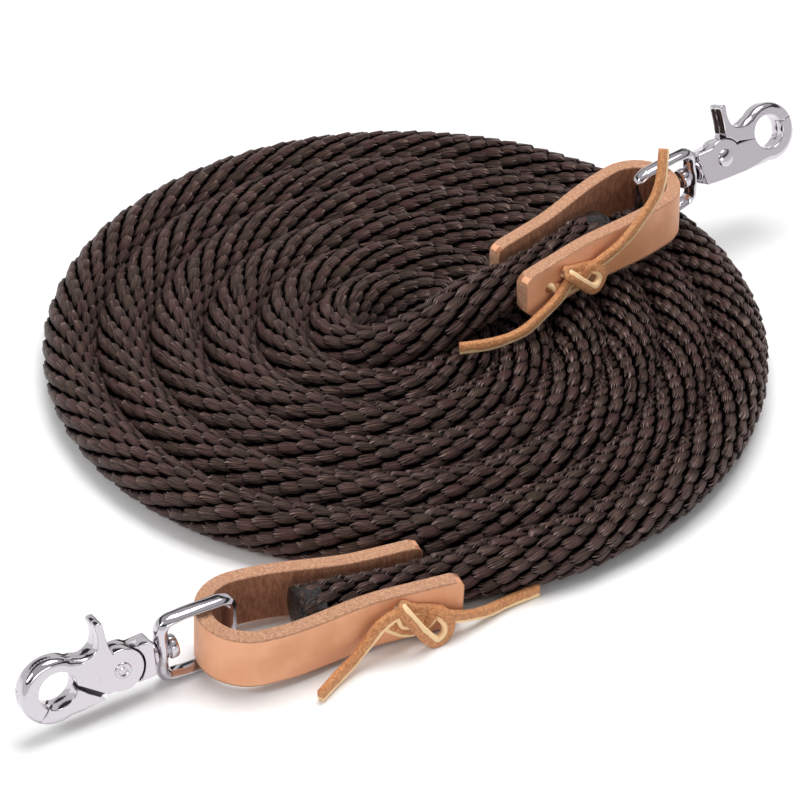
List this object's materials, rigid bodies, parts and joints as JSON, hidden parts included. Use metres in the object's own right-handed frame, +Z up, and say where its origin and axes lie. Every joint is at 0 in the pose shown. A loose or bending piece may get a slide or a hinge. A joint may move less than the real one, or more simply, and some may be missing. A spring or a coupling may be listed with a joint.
{
  "type": "braided rope reins with leather ends",
  "caption": "Flat coil of braided rope reins whose two ends are tied into folded leather loops, each holding a swivel trigger snap with a sprung jaw.",
  "frame": {"origin": "on the floor under the middle of the box round the two leather ends and their snaps, without the rope", "axes": "+Z up; +Y from the left end towards the right end, along the long way of the two ends' box; +X to the right"},
  "size_m": [0.2301, 0.2773, 0.0559],
  "materials": {
    "rope": "braided synthetic rope, dark brown with a slight sheen",
    "leather_strap": "smooth natural harness leather with raw cut edges",
    "leather_thong": "raw cut leather lace",
    "chrome": "polished nickel plate",
    "rivet_steel": "peened and plated",
    "spring_steel": "drawn wire"
  },
  "bodies": {
    "rein": {"rope_coil": "rope", "rope_outer_lead": "rope", "rope_inner_lead": "rope", "left_strap": "leather_strap", "left_thong": "leather_thong", "right_strap": "leather_strap", "right_thong": "leather_thong"},
    "left_eye": {"left_swivel_eye": "chrome"},
    "left_snap": {"left_snap_body": "chrome", "left_swivel_rivet": "rivet_steel", "left_swivel_washer": "rivet_steel", "left_pivot_pin": "rivet_steel", "left_trigger_spring": "spring_steel"},
    "left_jaw": {"left_trigger": "chrome"},
    "right_eye": {"right_swivel_eye": "chrome"},
    "right_snap": {"right_snap_body": "chrome", "right_swivel_rivet": "rivet_steel", "right_swivel_washer": "rivet_steel", "right_pivot_pin": "rivet_steel", "right_trigger_spring": "spring_steel"},
    "right_jaw": {"right_trigger": "chrome"}
  },
  "joints": [
    {"name": "left_eye_swing", "type": "hinge", "parent": "rein", "child": "left_eye", "pos_m": [-0.05871, -0.08994, 0.01101], "axis": [0.0321, 0.0136, 0.9994], "range_deg": [-53, 37]},
    {"name": "left_swivel", "type": "hinge", "parent": "left_eye", "child": "left_snap", "pos_m": [-0.08655, -0.10667, 0.01213], "axis": [-0.8566, -0.5148, 0.0346], "continuous": true},
    {"name": "left_trigger_open", "type": "hinge", "parent": "left_snap", "child": "left_jaw", "pos_m": [-0.08655, -0.10667, 0.01213], "axis": [-0.5104, 0.8356, -0.203], "range_deg": [0, 35], "stiffness_Nm_per_rad": 0.06, "springref_deg": -28.65},
    {"name": "right_eye_swing", "type": "hinge", "parent": "rein", "child": "right_eye", "pos_m": [0.0611, 0.08664, 0.02692], "axis": [-0.1018, -0.0949, 0.9903], "range_deg": [-37, 53]},
    {"name": "right_swivel", "type": "hinge", "parent": "right_eye", "child": "right_snap", "pos_m": [0.08749, 0.10506, 0.0314], "axis": [0.8121, 0.567, 0.1378], "continuous": true},
    {"name": "right_trigger_open", "type": "hinge", "parent": "right_snap", "child": "right_jaw", "pos_m": [0.08749, 0.10506, 0.0314], "axis": [0.4718, -0.777, 0.4167], "range_deg": [0, 35], "stiffness_Nm_per_rad": 0.06, "springref_deg": -28.65}
  ]
}
